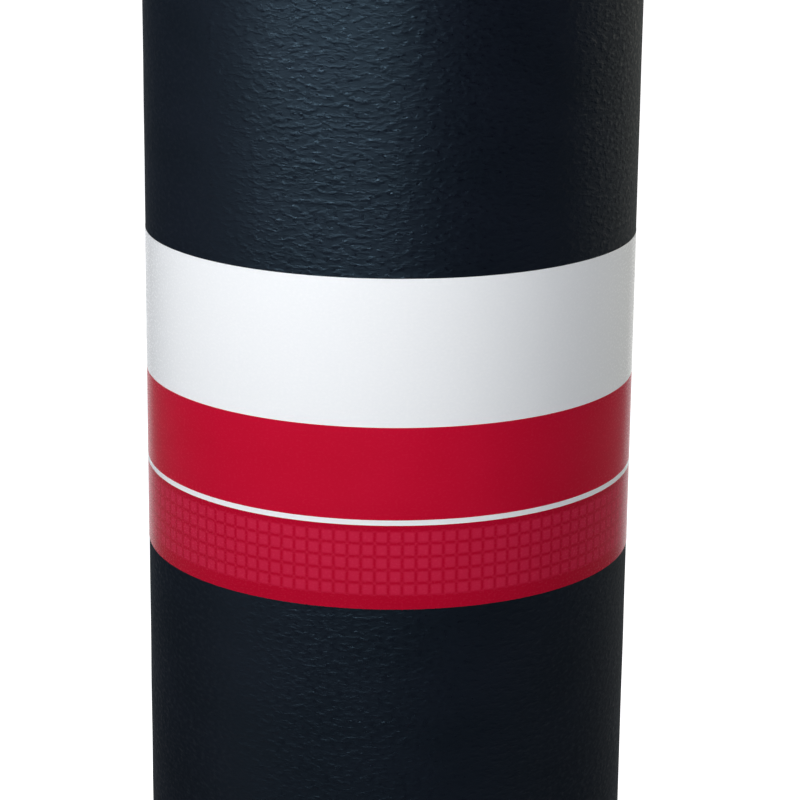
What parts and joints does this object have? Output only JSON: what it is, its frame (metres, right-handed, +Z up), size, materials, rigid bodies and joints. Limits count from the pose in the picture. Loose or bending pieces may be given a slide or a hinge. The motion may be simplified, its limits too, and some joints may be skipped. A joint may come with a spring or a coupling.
{
  "type": "roll of roofing felt",
  "caption": "Black saturated felt sheet wound into an upright hollow roll, with a white and red paper label band, used as roof underlay.",
  "frame": {"origin": "middle of the lower end, on the floor that the roll stands on", "axes": "+Z up along the roll's axis, -Y towards the front of the label, +X to its right"},
  "size_m": [0.232, 0.2322, 0.9175],
  "materials": {
    "felt": "asphalt-saturated felt, dull sheen, streaky relief",
    "label_paper": "coated paper, white over red print, semi-gloss"
  },
  "bodies": {
    "root": {"felt_roll": "felt", "paper_label": "label_paper"}
  },
  "joints": []
}
